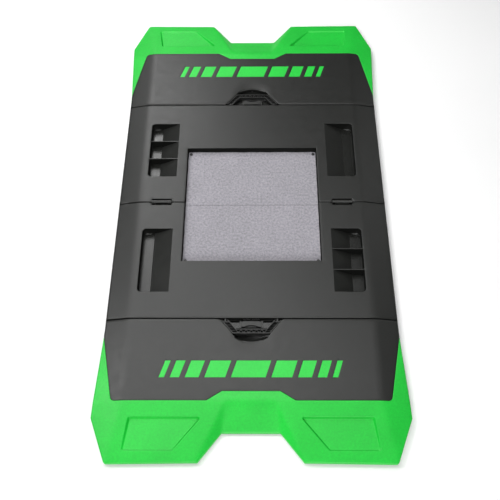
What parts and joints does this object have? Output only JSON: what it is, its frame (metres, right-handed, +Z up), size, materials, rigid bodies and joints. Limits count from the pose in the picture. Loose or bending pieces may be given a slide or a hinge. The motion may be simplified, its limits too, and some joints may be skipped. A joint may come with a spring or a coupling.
{
  "type": "folding motorcycle work mat",
  "caption": "Folding motorcycle work mat: hinged black deck panels with a felt tray, tool pockets, bail handles, slide locks and green ramped ends.",
  "frame": {"origin": "on the floor under the middle of the mat, on the centre hinge line", "axes": "+X across the mat, +Y along it towards the far end, +Z up"},
  "size_m": [0.8198, 1.5298, 0.0435],
  "materials": {
    "black_plastic": "fine grain",
    "green_plastic": "satin",
    "felt": "needled felt",
    "stud_plastic": "satin",
    "steel": "zinc plated",
    "dark_steel": "black oxide",
    "rubber": "matte"
  },
  "bodies": {
    "near_middle": {"near_middle_deck": "black_plastic", "near_felt_pad": "felt", "near_felt_studs": "stud_plastic", "near_end_hinge_pins": "steel", "near_handle_pivot_pins": "dark_steel", "near_middle_feet": "rubber", "left_center_hinge_pin": "steel", "right_center_hinge_pin": "steel"},
    "far_middle": {"far_middle_deck": "black_plastic", "far_felt_pad": "felt", "far_felt_studs": "stud_plastic", "far_end_hinge_pins": "steel", "far_handle_pivot_pins": "dark_steel", "far_middle_feet": "rubber"},
    "near_end": {"near_end_deck": "black_plastic", "near_end_ramp": "green_plastic", "near_end_emblem": "green_plastic", "near_ramp_screws": "steel", "near_end_feet": "rubber"},
    "far_end": {"far_end_deck": "black_plastic", "far_end_ramp": "green_plastic", "far_end_emblem": "green_plastic", "far_ramp_screws": "steel", "far_end_feet": "rubber"},
    "near_grip": {"near_handle": "black_plastic"},
    "far_grip": {"far_handle": "black_plastic"},
    "near_lock": {"near_lock_slider": "black_plastic"},
    "far_lock": {"far_lock_slider": "black_plastic"}
  },
  "joints": [
    {"name": "center_fold", "type": "hinge", "parent": "near_middle", "child": "far_middle", "pos_m": [0, 0, 0.0385], "axis": [1, 0, 0], "range_deg": [0, 180]},
    {"name": "near_end_fold", "type": "hinge", "parent": "near_middle", "child": "near_end", "pos_m": [0, -0.381, 0.0056], "axis": [1, 0, 0], "range_deg": [0, 180]},
    {"name": "far_end_fold", "type": "hinge", "parent": "far_middle", "child": "far_end", "pos_m": [0, 0.381, 0.0056], "axis": [-1, 0, 0], "range_deg": [0, 180]},
    {"name": "near_handle_swing", "type": "hinge", "parent": "near_middle", "child": "near_grip", "pos_m": [0, -0.388, 0.0305], "axis": [1, 0, 0], "range_deg": [-90, 0]},
    {"name": "far_handle_swing", "type": "hinge", "parent": "far_middle", "child": "far_grip", "pos_m": [0, 0.388, 0.0305], "axis": [-1, 0, 0], "range_deg": [-90, 0]},
    {"name": "near_lock_slide", "type": "slide", "parent": "near_end", "child": "near_lock", "axis": [0, -1, 0], "range_m": [-0.007, 0]},
    {"name": "far_lock_slide", "type": "slide", "parent": "far_end", "child": "far_lock", "axis": [0, 1, 0], "range_m": [-0.007, 0]}
  ]
}
